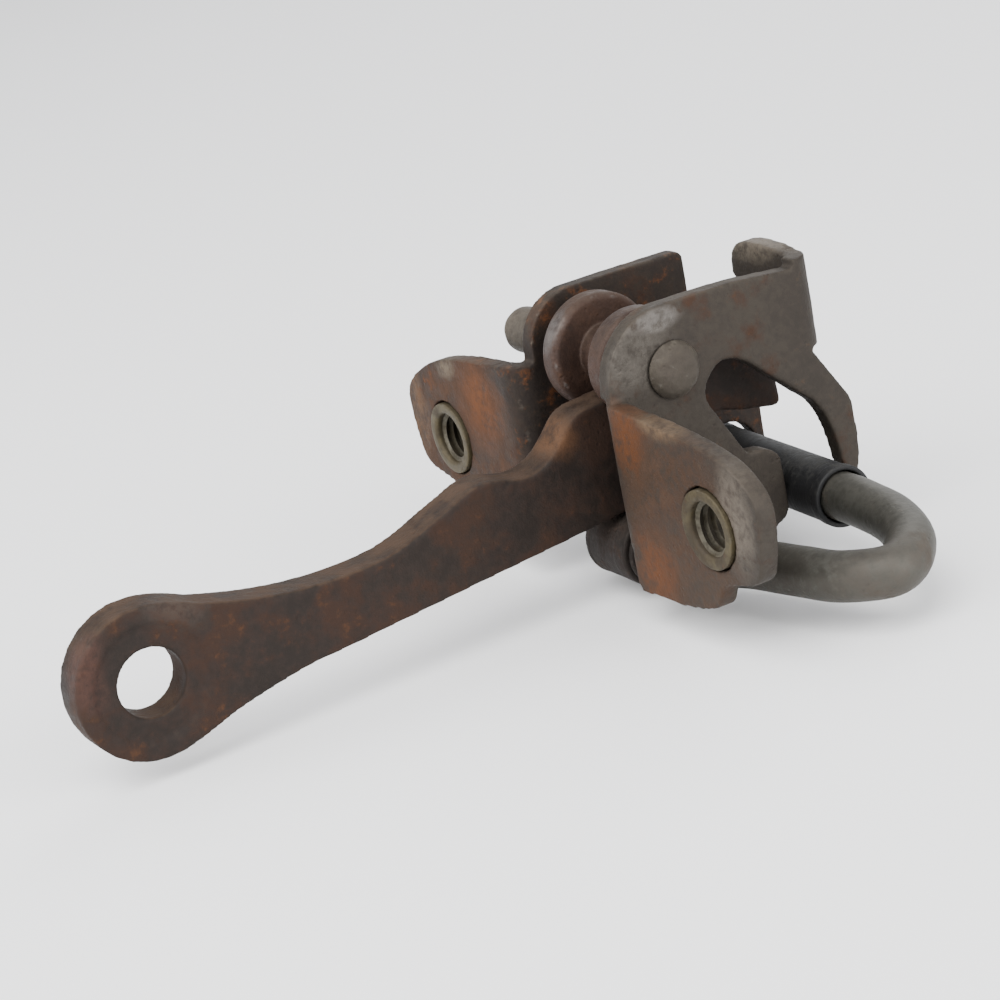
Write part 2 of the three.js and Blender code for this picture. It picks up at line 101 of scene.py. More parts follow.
class Along(Enum):
    """The direction that a turned piece's axis lies in."""

    X = (1.0, 0.0, 0.0)
    Y = (0.0, 1.0, 0.0)

    @property
    def direction(self) -> Vector:
        """The axis as a vector."""
        return Vector(self.value)

    @property
    def turn(self) -> Point:
        """Euler angles that face a flat circle along the axis."""
        return (0.0, math.pi / 2, 0.0) if self is Along.X else (-math.pi / 2, 0.0, 0.0)

    def swelling(self, factor: float) -> Point:
        """Scale that widens a ring by a factor and leaves its place on the axis."""
        return (1.0, factor, factor) if self is Along.X else (factor, 1.0, factor)


# ---------------------------------------------------------------- shader maths


class Field:
    """A number that varies over a surface, written in Python's own operators."""

    def __init__(self, shader: "Shader", socket: bpy.types.NodeSocket) -> None:
        """Wraps an output socket of a shader's node."""
        self.shader = shader
        self.socket = socket

    def _with(self, operation: str, first: "Field | float", second: "Field | float") -> "Field":
        """Adds a Math node on two operands and wraps its result."""
        made = self.shader.node("ShaderNodeMath", {"operation": operation}, {0: first, 1: second})
        return Field(self.shader, made.outputs[0])

    def __add__(self, other: "Field | float") -> "Field":
        """self + other."""
        return self._with("ADD", self, other)

    def __radd__(self, other: float) -> "Field":
        """other + self."""
        return self._with("ADD", other, self)

    def __sub__(self, other: "Field | float") -> "Field":
        """self - other."""
        return self._with("SUBTRACT", self, other)

    def __rsub__(self, other: float) -> "Field":
        """other - self."""
        return self._with("SUBTRACT", other, self)

    def __mul__(self, other: "Field | float") -> "Field":
        """self * other."""
        return self._with("MULTIPLY", self, other)

    def __rmul__(self, other: float) -> "Field":
        """other * self."""
        return self._with("MULTIPLY", other, self)

    def at_least(self, other: "Field | float") -> "Field":
        """The larger of two numbers."""
        return self._with("MAXIMUM", self, other)

    def band(self, low: float, high: float) -> "Field":
        """A smooth step from 0 at low to 1 at high.

        Args:
            low: the value that gives 0.
            high: the value that gives 1, which may be below low.

        Returns:
            The step, from 0 to 1.
        """
        made = self.shader.node(
            "ShaderNodeMapRange",
            {"interpolation_type": "SMOOTHSTEP"},
            {"Value": self, "From Min": low, "From Max": high},
        )
        return Field(self.shader, made.outputs[0])


class Shader:
    """One material's node tree, with a wrapper for each kind of pattern that the finishes use."""

    def __init__(self, name: str, shift: Point) -> None:
        """Starts a material.

        Args:
            name: the material's name.
            shift: how far its patterns are moved, so that two finishes never repeat each other.
        """
        self.material = bpy.data.materials.new(name)
        self.material.use_nodes = True
        self.tree = self.material.node_tree
        self.tree.nodes.clear()
        self.place = self.node("ShaderNodeTexCoord").outputs["Object"]
        self.facing = self.node("ShaderNodeTexCoord").outputs["Normal"]
        moved = {"Vector": self.place, "Location": shift}
        self.grain = self.node("ShaderNodeMapping", {}, moved).outputs[0]

    def node(
        self,
        kind: str,
        settings: dict[str, object] | None = None,
        sockets: dict[str | int, object] | None = None,
    ) -> bpy.types.Node:
        """Adds a node.

        Args:
            kind: the node's type.
            settings: its properties, set before its sockets.
            sockets: a value, a Field or an output socket for each input.

        Returns:
            The node.
        """
        made = self.tree.nodes.new(kind)
        for key, value in (settings or {}).items():
            setattr(made, key, value)
        for key, value in (sockets or {}).items():
            source = value.socket if isinstance(value, Field) else value
            if isinstance(source, bpy.types.NodeSocket):
                self.tree.links.new(source, made.inputs[key])
            else:
                made.inputs[key].default_value = source
        return made

    def noise(
        self,
        size: float,
        detail: float = 4.0,
        roughness: float = 0.55,
        stretch: Point = (1, 1, 1),
    ) -> Field:
        """Fractal noise from 0 to 1 whose largest blotches are about size metres across."""
        place = self.grain
        if stretch != (1, 1, 1):
            place = self.node("ShaderNodeMapping", {}, {"Vector": place, "Scale": stretch}).outputs[0]
        sockets = {"Vector": place, "Scale": 1.0 / size, "Detail": detail, "Roughness": roughness}
        return Field(self, self.node("ShaderNodeTexNoise", {}, sockets).outputs["Fac"])

    def cells(self, size: float, randomness: float = 1.0) -> Field:
        """Distance to the nearest of many scattered points, size metres apart."""
        sockets = {"Vector": self.grain, "Scale": 1.0 / size, "Randomness": randomness}
        return Field(self, self.node("ShaderNodeTexVoronoi", {}, sockets).outputs["Distance"])

    def sharpness(self) -> Field:
        """How convex the surface is: about 0.5 on a flat, more on an edge, less in a corner."""
        return Field(self, self.node("ShaderNodeNewGeometry").outputs["Pointiness"])

    def faces(self, direction: Point) -> Field:
        """How nearly the surface faces a direction, from -1 to 1."""
        sockets = {0: self.facing, 1: direction}
        made = self.node("ShaderNodeVectorMath", {"operation": "DOT_PRODUCT"}, sockets)
        return Field(self, made.outputs["Value"])

    def far_from(self, centre: Point, reach: Point) -> Field:
        """Distance from a place, in units of an ellipsoid's half sizes."""
        shifted = self.node("ShaderNodeVectorMath", {"operation": "SUBTRACT"}, {0: self.place, 1: centre})
        scale = tuple(1.0 / size for size in reach)
        sockets = {0: shifted.outputs[0], 1: scale}
        scaled = self.node("ShaderNodeVectorMath", {"operation": "MULTIPLY"}, sockets)
        made = self.node("ShaderNodeVectorMath", {"operation": "LENGTH"}, {0: scaled.outputs[0]})
        return Field(self, made.outputs["Value"])

    def blend(self, factor: Field, low: object, high: object, mode: str = "MIX") -> bpy.types.NodeSocket:
        """Mixes two colours.

        Args:
            factor: how much of high is taken, from 0 to 1.
            low: the first colour, as three numbers or a socket.
            high: the second colour.
            mode: how they are combined.

        Returns:
            The mixed colour.
        """
        opaque = [(*c, 1.0) if isinstance(c, tuple) else c for c in (low, high)]
        settings = {"data_type": "RGBA", "blend_type": mode, "clamp_factor": True}
        return self.node("ShaderNodeMix", settings, {0: factor, 6: opaque[0], 7: opaque[1]}).outputs[2]

    def shaded(self, colour: object, factor: Field) -> bpy.types.NodeSocket:
        """A colour made darker or lighter by a number that varies round 1."""
        settings = {"operation": "SCALE"}
        return self.node("ShaderNodeVectorMath", settings, {0: colour, "Scale": factor}).outputs[0]

    def finish(
        self,
        colour: object,
        roughness: Field,
        metallic: Field | float,
        height: Field,
        depth: float,
        reflects: float,
    ) -> bpy.types.Material:
        """Joins the patterns to the surface shader.

        Args:
            colour: the base colour.
            roughness: from 0, polished, to 1.
            metallic: from 0 to 1.
            height: the relief, from 0 to 1.
            depth: how deep a relief of 1 is, in metres.
            reflects: the strength of the reflection on what isn't metal.

        Returns:
            The material.
        """
        relief = self.node("ShaderNodeBump", {}, {"Strength": 1.0, "Distance": depth, "Height": height})
        surface = self.node(
            "ShaderNodeBsdfPrincipled",
            {},
            {
                "Base Color": colour,
                "Roughness": roughness,
                "Metallic": metallic,
                "Specular IOR Level": reflects,
                "Normal": relief.outputs[0],
            },
        )
        self.node("ShaderNodeOutputMaterial", {}, {"Surface": surface.outputs[0]})
        return self.material


# ---------------------------------------------------------------- finishes


@dataclass(frozen=True)
class Patch:
    """A place on a piece where its surface has gone a different way, or where a painted highlight or
    painted shade is laid into its colour.
    """

    centre: Point
    reach: Point
    colour: Colour
    strength: float = 0.8
    polish: float = 0.0
    ragged: float = 1.0


@dataclass(frozen=True)
class Bias:
    """A tint on the faces that look in one direction."""

    direction: Point
    colour: Colour
    strength: float = 0.6
    least: float = 0.55


@dataclass(frozen=True)
class AgedMetal:
    """Steel or plating with a dark skin, rust in two depths, dust, and edges worn bright."""

    name: str
    skin: Colour
    stain: Colour
    rust: Colour
    bloom: Colour
    bare: Colour
    dust: Colour
    rusted: float = 0.45
    bloomed: float = 0.2
    dusted: float = 0.3
    worn: float = 0.6
    smoothness: float = 0.0
    metal: float = 0.45
    relief: float = 0.00016
    shift: Point = (0.0, 0.0, 0.0)
    patches: tuple[Patch, ...] = ()
    biases: tuple[Bias, ...] = ()

    @staticmethod
    def _over(noise: Field, share: float, soft: float = 0.07) -> Field:
        """A mask that covers about a share of the surface with a noise's highest blotches."""
        middle = 0.68 - 0.36 * share
        return noise.band(middle - soft, middle + soft)

    def material(self) -> bpy.types.Material:
        """Builds the material.

        Returns:
            The material.
        """
        shader = Shader(self.name, self.shift)
        broad = shader.noise(BROAD_SIZE, 3.0)
        blotch = shader.noise(BLOTCH_SIZE, 6.0, 0.62)
        speck = shader.noise(SPECK_SIZE, 5.0, 0.6)
        grit = shader.noise(GRIT_SIZE, 3.0, 0.6)
        pits = (1.0 - shader.cells(PIT_SPACING).band(0.05, 0.36)) * blotch.band(0.46, 0.66)
        sharp = shader.sharpness()

        rust = self._over(broad * 0.5 + blotch * 0.5, self.rusted)
        bloom = self._over(blotch * 0.55 + speck * 0.45, self.bloomed)
        stain = self._over(1.0 - broad * 0.4 - speck * 0.6, 0.5, 0.12)
        edge = sharp.band(0.53, 0.7) * (speck * 0.55 + blotch * 0.45).band(0.4, 0.6)
        hollow = (sharp + (speck - 0.5) * 0.03).band(0.49, 0.44)
        upward = shader.faces((0.0, 0.0, 1.0)).band(0.1, 0.9)
        dust = (upward * 0.7 + hollow * 0.8) * self._over(speck * 0.6 + broad * 0.4, 0.62, 0.14)

        colour = shader.blend(stain * 0.85, self.skin, self.stain)
        colour = shader.blend(rust * 0.85, colour, self.rust)
        colour = shader.blend(bloom * 0.8, colour, self.bloom)
        for bias in self.biases:
            facing = shader.faces(bias.direction).band(bias.least, 0.95)
            mask = facing * self._over(blotch * 0.7 + speck * 0.3, 0.75, 0.16)
            colour = shader.blend(mask * bias.strength, colour, bias.colour)
        polish: Field | float = 0.0
        mottle = (speck * 0.55 + blotch * 0.45).band(0.36, 0.6) * 0.75 + 0.25
        for patch in self.patches:
            strays = (blotch - 0.5) * 1.5 * patch.ragged + (speck - 0.5) * 0.7 * patch.ragged
            inside = 1.02 - 0.5 * patch.ragged
            mask = (shader.far_from(patch.centre, patch.reach) + strays).band(1.05, inside)
            colour = shader.blend(mask * mottle * patch.strength, colour, patch.colour)
            polish = mask * patch.polish + polish
        colour = shader.blend(dust * self.dusted, colour, self.dust)
        colour = shader.blend(edge * self.worn, colour, self.bare)
        colour = shader.blend(pits * 0.3, colour, shader.shaded(colour, 1.0 - pits * 0.6))
        colour = shader.shaded(colour, 0.66 + grit * 0.24 + blotch * 0.22 + broad * 0.22)

        crust = rust.at_least(bloom)
        roughness = 0.6 - self.smoothness + crust * 0.2 + grit * 0.14 - edge * 0.2 - polish * 0.3
        metallic = self.metal * (1.0 - crust * 0.75) + edge * 0.2 + polish * 0.3
        height = blotch * 0.7 + speck * 0.55 + grit * 0.28 + crust * 0.25 - pits * 0.6
        return shader.finish(colour, roughness, metallic, height, self.relief, 0.25)


@dataclass(frozen=True)
class DustyRubber:
    """A dark sleeve with ground-in dust, scuffs and fine cracks round it."""

    name: str
    colour: Colour
    grey: Colour
    dust: Colour
    shift: Point = (0.0, 0.0, 0.0)

    def material(self) -> bpy.types.Material:
        """Builds the material.

        Returns:
            The material.
        """
        shader = Shader(self.name, self.shift)
        blotch = shader.noise(0.006, 5.0, 0.6)
        speck = shader.noise(0.0009, 4.0, 0.6)
        rings = shader.noise(0.0012, 4.0, 0.6, (0.25, 3.0, 0.25))
        upward = shader.faces((0.0, 0.0, 1.0)).band(-0.1, 0.9)
        scuff = (rings * 0.6 + blotch * 0.4).band(0.5, 0.66)
        dust = (upward * 0.6 + 0.25) * (speck * 0.5 + blotch * 0.5).band(0.42, 0.62)
        colour = shader.blend(scuff * 0.6, self.colour, self.grey)
        colour = shader.blend(dust * 0.75, colour, self.dust)
        roughness = 0.62 + dust * 0.25 - scuff * 0.14
        height = rings * 0.5 + speck * 0.4
        return shader.finish(colour, roughness, 0.0, height, 0.0001, 0.3)


@dataclass(frozen=True)
class PlainPaper:
    """The studio's pale floor, with the faint unevenness of real paper."""

    name: str
    colour: Colour

    def material(self) -> bpy.types.Material:
        """Builds the material.

        Returns:
            The material.
        """
        shader = Shader(self.name, (0.0, 0.0, 0.0))
        cloud = shader.noise(0.4, 2.0)
        colour = shader.shaded(self.colour, 0.98 + cloud * 0.04)
        return shader.finish(colour, 0.9 + cloud * 0.05, 0.0, cloud, 0.00002, 0.2)


# ---------------------------------------------------------------- modelling


def pick_only(piece: bpy.types.Object) -> None:
    """Leaves one object selected and active."""
    bpy.ops.object.select_all(action="DESELECT")
    piece.select_set(True)
    bpy.context.view_layer.objects.active = piece


def settle(piece: bpy.types.Object) -> None:
    """Moves an object's place and turn into its mesh, and its origin to the frame's."""
    pick_only(piece)
    bpy.ops.object.transform_apply(location=True, rotation=True, scale=True)


def finished_with(piece: bpy.types.Object, kind: str, **settings: object) -> None:
    """Adds a modifier with its settings and applies it."""
    pick_only(piece)
    modifier = piece.modifiers.new(kind.title(), kind)
    for key, value in settings.items():
        setattr(modifier, key, value)
    bpy.ops.object.modifier_apply(modifier=modifier.name)


def smoothed(piece: bpy.types.Object, angle: float = 40.0) -> None:
    """Shades a piece smooth except across its sharper edges."""
    pick_only(piece)
    bpy.ops.object.shade_smooth_by_angle(angle=math.radians(angle))


def outward(piece: bpy.types.Object) -> None:
    """Merges doubled vertices and turns every face outwards."""
    pick_only(piece)
    bpy.ops.object.mode_set(mode="EDIT")
    bpy.ops.mesh.select_all(action="SELECT")
    bpy.ops.mesh.remove_doubles(threshold=1e-7)
    bpy.ops.mesh.normals_make_consistent(inside=False)
    bpy.ops.object.mode_set(mode="OBJECT")


def rounded(
    corners: Sequence[Station],
    radius: float,
    steps: int = 4,
    closed: bool = False,
) -> list[Station]:
    """Rounds the corners of a profile.

    Args:
        corners: the profile's corners, each a radius and a place along the axis.
        radius: the rounding, which a short side next to a corner limits.
        steps: the number of facets round each corner.
        closed: whether the profile runs back to its first corner.

    Returns:
        The rounded profile.
    """
    made: list[Station] = []
    count = len(corners)
    for index, corner in enumerate(corners):
        if not closed and index in (0, count - 1):
            made.append(corner)
            continue
        here = Vector(corner)
        before, after = Vector(corners[index - 1]) - here, Vector(corners[(index + 1) % count]) - here
        reach = min(radius, before.length * 0.45, after.length * 0.45)
        start, end = here + before.normalized() * reach, here + after.normalized() * reach
        for step in range(steps + 1):
            share = step / steps
            curve = start * (1 - share) ** 2 + here * 2 * share * (1 - share) + end * share**2
            made.append((curve.x, curve.y))
    return made


def filled_in(profile: Sequence[Station], spacing: float, closed: bool) -> list[Station]:
    """Adds rings along a profile's long sides, so that wear and rust can follow them.

    Args:
        profile: the profile's stations.
        spacing: the longest side that is left, in metres.
        closed: whether the profile runs back to its first station.

    Returns:
        The filled-in profile.
    """
    made: list[Station] = []
    ends = [*profile[1:], profile[0]] if closed else profile[1:]
    for start, end in zip(profile, ends):
        count = max(1, math.ceil(math.dist(start, end) / spacing))
        for step in range(count):
            share = step / count
            made.append((start[0] + (end[0] - start[0]) * share, start[1] + (end[1] - start[1]) * share))
    return made if closed else [*made, profile[-1]]


def turned(
    name: str,
    profile: Sequence[Station],
    along: Along,
    centre: Point,
    facets: int = 96,
    bored: bool = False,
) -> bpy.types.Object:
    """Turns a piece: a circle is drawn along its axis, from ring to ring of its profile.

    Args:
        name: the piece's name.
        profile: a radius and a place along the axis for each ring, in metres.
        along: the direction of the axis.
        centre: the axis's zero point.
        facets: how many sides each ring has.
        bored: whether the profile closes on itself round a bore, rather than being capped.

    Returns:
        The finished piece.
    """
    origin, direction = Vector(centre), along.direction
    profile = filled_in(profile, RING_SPACING, bored)
    radius, place = profile[0]
    bpy.ops.object.select_all(action="DESELECT")
    bpy.ops.mesh.primitive_circle_add(
        vertices=facets, radius=radius, location=origin + direction * place, rotation=along.turn
    )
    piece = bpy.context.active_object
    piece.name = name
    settle(piece)
    bpy.ops.object.mode_set(mode="EDIT")
    bpy.ops.mesh.select_mode(type="EDGE")
    bpy.ops.mesh.select_all(action="SELECT")
    if not bored:
        bpy.ops.mesh.edge_face_add()
        bpy.ops.mesh.inset(thickness=radius * 0.5)
        bpy.ops.mesh.select_all(action="DESELECT")
        bpy.ops.object.mode_set(mode="OBJECT")
        for edge in piece.data.edges:
            ends = [(piece.data.vertices[v].co - origin - direction * place).length for v in edge.vertices]
            edge.select = min(ends) > radius * 0.9
        bpy.ops.object.mode_set(mode="EDIT")
    stops = [*profile[1:], profile[0]] if bored else profile[1:]
    for next_radius, next_place in stops:
        bpy.ops.mesh.extrude_region_move(
            TRANSFORM_OT_translate={"value": direction * (next_place - place)}
        )
        bpy.ops.transform.resize(
            value=along.swelling(next_radius / radius), center_override=origin + direction * next_place
        )
        radius, place = next_radius, next_place
    if not bored:
        bpy.ops.mesh.edge_face_add()
        bpy.ops.mesh.inset(thickness=radius * 0.5)
    bpy.ops.object.mode_set(mode="OBJECT")
    outward(piece)
    smoothed(piece)
    return piece


def lay_between(piece: bpy.types.Object, start: Vector, end: Vector) -> None:
    """Turns a piece that was made along +Y from the origin so that it runs from start towards end."""
    turn = Vector((0.0, 1.0, 0.0)).rotation_difference(end - start)
    piece.matrix_world = Matrix.Translation(start) @ turn.to_matrix().to_4x4()
    settle(piece)


def copied(node: str, name: str) -> bpy.types.Object:
    """Copies a CAD node's mesh into a new piece and merges its loose triangles.

    Args:
        node: the CAD node.
        name: the new piece's name.

    Returns:
        The piece.
    """
    piece = bpy.data.objects.new(name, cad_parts[node].data.copy())
    bpy.context.scene.collection.objects.link(piece)
    piece.data.materials.clear()
    pick_only(piece)
    bpy.ops.object.mode_set(mode="EDIT")
    bpy.ops.mesh.select_all(action="SELECT")
    bpy.ops.mesh.remove_doubles(threshold=2e-6)
    bpy.ops.object.mode_set(mode="OBJECT")
    return piece


def clouds(name: str, size: float) -> bpy.types.Texture:
    """A cloudy pattern for uneven surfaces, with blotches of a given size in metres."""
    pattern = bpy.data.textures.new(name, "CLOUDS")
    pattern.noise_scale = size
    pattern.noise_depth = 2
    return pattern


def weathered(
    piece: bpy.types.Object,
    grain: float,
    softening: int,
    dents: Sequence[tuple[float, float]],
) -> None:
    """Gives a sharp solid the soft edges and uneven skin of old worn steel.

    Args:
        piece: the piece, whose mesh is replaced by an even one.
        grain: the even mesh's spacing, in metres.
        softening: how many rounds of smoothing soften the edges.
        dents: the size and the depth of each layer of unevenness, in metres.
    """
    finished_with(piece, "REMESH", mode="VOXEL", voxel_size=grain, adaptivity=0.0)
    finished_with(piece, "SMOOTH", factor=0.5, iterations=softening)
    for size, depth in dents:
        pattern = clouds(f"{piece.name}_dents", size)
        settings = {"strength": depth, "mid_level": 0.5, "texture_coords": "LOCAL"}
        finished_with(piece, "DISPLACE", texture=pattern, **settings)
    pick_only(piece)
    bpy.ops.object.shade_smooth()


def catmull_route(points: Sequence[Point], per_span: int) -> list[Vector]:
    """Follows a smooth curve through points, with knots spaced by the root of their distance.

    Args:
        points: the points that it passes through.
        per_span: how many steps there are between two points.

    Returns:
        The curve's points.
    """
    knots = [Vector(point) for point in points]
    knots = [knots[0] * 2 - knots[1], *knots, knots[-1] * 2 - knots[-2]]
    made: list[Vector] = []
    for a, b, c, d in zip(knots, knots[1:], knots[2:], knots[3:]):
        first, middle, last = ((q - p).length ** 0.5 for p, q in ((a, b), (b, c), (c, d)))
        leave = ((b - a) / first - (c - a) / (first + middle) + (c - b) / middle) * middle
        reach = ((c - b) / middle - (d - b) / (middle + last) + (d - c) / last) * middle
        for step in range(per_span):
            t = step / per_span
            made.append(
                b * (2 * t**3 - 3 * t**2 + 1)
                + leave * (t**3 - 2 * t**2 + t)
                + c * (3 * t**2 - 2 * t**3)
                + reach * (t**3 - t**2)
            )
    made.append(knots[-2])
    return made


def bar_along(name: str, route: Sequence[Vector], radius: float, chamfer: float) -> bpy.types.Object:
    """Draws a round bar along a route, with chamfered ends.

    Args:
        name: the piece's name.
        route: the bar's centre line.
        radius: the bar's radius.
        chamfer: the chamfer at each end.

    Returns:
        The finished piece.
    """
    bpy.ops.object.select_all(action="DESELECT")
    bpy.ops.curve.primitive_bezier_curve_add()
    line = bpy.context.active_object
    line.name = name
    line.data.splines.clear()
    spline = line.data.splines.new("POLY")
    start, end = route[0], route[-1]
    lead_in = start + (route[1] - start).normalized() * chamfer
    lead_out = end + (route[-2] - end).normalized() * chamfer
    middle = [p for p in route[1:-1] if min((p - start).length, (p - end).length) > chamfer * 1.5]
    points = [start, lead_in, *middle, lead_out, end]
    spline.points.add(len(points) - 1)
    for index, point in enumerate(points):
        spline.points[index].co = (*point, 1.0)
        spline.points[index].radius = 1.0 - chamfer / radius if index in (0, len(points) - 1) else 1.0
    line.data.dimensions = "3D"
    line.data.twist_mode = "MINIMUM"
    line.data.bevel_depth = radius
    line.data.bevel_resolution = 14
    line.data.use_fill_caps = True
    pick_only(line)
    bpy.ops.object.convert(target="MESH")
    piece = bpy.context.active_object
    settle(piece)
    outward(piece)
    return piece


def dressed(
    piece: bpy.types.Object,
    finish: AgedMetal | DustyRubber,
    body: Body,
    slot: Slot,
    *nodes: str,
) -> bpy.types.Object:
    """Gives a piece its finish, its body and the CAD nodes that it stands for.

    Args:
        piece: the finished piece.
        finish: its finish.
        body: the CAD body that it rides on.
        slot: the record's material slot; not used.
        nodes: the CAD nodes that it replaces.

    Returns:
        The piece.
    """
    piece.data.materials.clear()
    piece.data.materials.append(finish.material())
    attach(piece, body.value)
    if nodes:
        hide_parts(*nodes)
    LOG.info("%s: %d faces on %s", piece.name, len(piece.data.polygons), body.value)
    return piece


# ---------------------------------------------------------------- the object's own sizes

BOLT_Y = 36 * MM
PIN = (-11.7 * MM, 0.0, 15.8 * MM)
SLIDE_SLOPE = 0.084
RAIL_Z = -7.27 * MM
INNER_Y = 11.5 * MM
OUTER_Y = 14.5 * MM
GAP = 0.3 * MM
ROD_RADIUS = 3.6 * MM
ROD_AT_WALL = Vector((-32.7 * MM, 13 * MM, -9.05 * MM))
ROD_SLOPE = Vector((0.1, 1.0, 0.03))


def on_arm(along: float, up: float) -> Point:
    """The place at a distance along the arm and above its lower edge, in metres."""
    turn = math.atan(SLIDE_SLOPE)
    x = along * math.cos(turn) + up * math.sin(turn)
    z = RAIL_Z - along * math.sin(turn) + up * math.cos(turn)
    return (x, 0.0, z)


def on_rod(y: float) -> Vector:
    """The place on the torsion rod's upper leg at a given Y, in metres."""
    return ROD_AT_WALL + ROD_SLOPE * (y - ROD_AT_WALL.y)


LOWER_AXIS = on_arm(-8 * MM, -5.9 * MM)

DUST = (0.078, 0.064, 0.049)
RUST = (0.03, 0.013, 0.0065)
BLOOM = (0.092, 0.032, 0.0095)
WORN = (0.085, 0.071, 0.057)


@dataclass
class SidePlates:
    """The two pressed side plates, each with a bolt ear, and the near one with a window and a tab."""

    grain: float = 0.34 * MM
    softening: int = 3
    dents: tuple[tuple[float, float], ...] = ((9 * MM, 0.16 * MM), (1.6 * MM, 0.07 * MM))
    near: AgedMetal = AgedMetal(
        name="near_plate_steel",
        skin=(0.034, 0.028, 0.022),
        stain=(0.026, 0.021, 0.017),
        rust=RUST,
        bloom=(0.052, 0.026, 0.012),
        bare=WORN,
        dust=DUST,
        rusted=0.2,
        bloomed=0.08,
        dusted=0.45,
        shift=(0.31, 0.17, 0.05),
        patches=(
            Patch((0.0, 0.028, 0.0), (0.0035, 0.017, 0.021), (0.047, 0.0245, 0.0135), 0.85, 0.0, 0.7),
            Patch((0.0, 0.0185, 0.011), (0.004, 0.006, 0.01), BLOOM, 1.0, 0.0, 1.5),
            Patch((0.0, 0.0205, -0.01), (0.004, 0.007, 0.009), BLOOM, 1.0, 0.0, 1.5),
            Patch((0.0, 0.027, 0.0135), (0.004, 0.007, 0.0025), (0.12, 0.078, 0.045), 0.9),
            Patch((0.0, 0.043, 0.003), (0.004, 0.005, 0.009), (0.105, 0.088, 0.07), 0.9, 0.2),
            Patch((-0.006, 0.0146, 0.019), (0.008, 0.002, 0.006), (0.085, 0.076, 0.065), 0.6, 0.4),
            Patch((-0.0105, 0.0146, 0.0235), (0.005, 0.002, 0.002), (0.13, 0.12, 0.11), 0.7, 0.7),
            # Painted highlight along the tab's top edge: a pale patch, also slightly polished.
            Patch((-0.0375, 0.003, 0.0255), (0.004, 0.009, 0.003), (0.15, 0.125, 0.095), 0.8, 0.3),
        ),
    )
    far: AgedMetal = AgedMetal(
        name="far_plate_steel",
        skin=(0.026, 0.019, 0.014),
        stain=(0.019, 0.014, 0.012),
        rust=RUST,
        bloom=BLOOM,
        bare=WORN,
        dust=DUST,
        rusted=0.4,
        bloomed=0.2,
        dusted=0.5,
        shift=(0.83, 0.41, 0.27),
        patches=(
            Patch((0.0, -0.03, 0.0), (0.0035, 0.018, 0.021), (0.046, 0.022, 0.0115), 0.9, 0.0, 0.7),
            Patch((0.0, -0.024, 0.008), (0.004, 0.008, 0.009), BLOOM, 1.0, 0.0, 1.5),
            Patch((0.0, -0.0335, 0.0125), (0.004, 0.0035, 0.003), (0.12, 0.095, 0.066), 0.9, 0.0, 1.4),
            Patch((0.0, -0.046, 0.004), (0.004, 0.004, 0.01), (0.09, 0.05, 0.027), 0.8),
        ),
    )

    def build(self) -> None:
        """Builds both plates."""
        for side, finish in (("near", self.near), ("far", self.far)):
            plate = copied(f"{side}_plate", f"{side}_pressed_plate")
            weathered(plate, self.grain, self.softening, self.dents)
            dressed(plate, finish, Body.HOUSING, Slot.PLATE, f"{side}_plate")


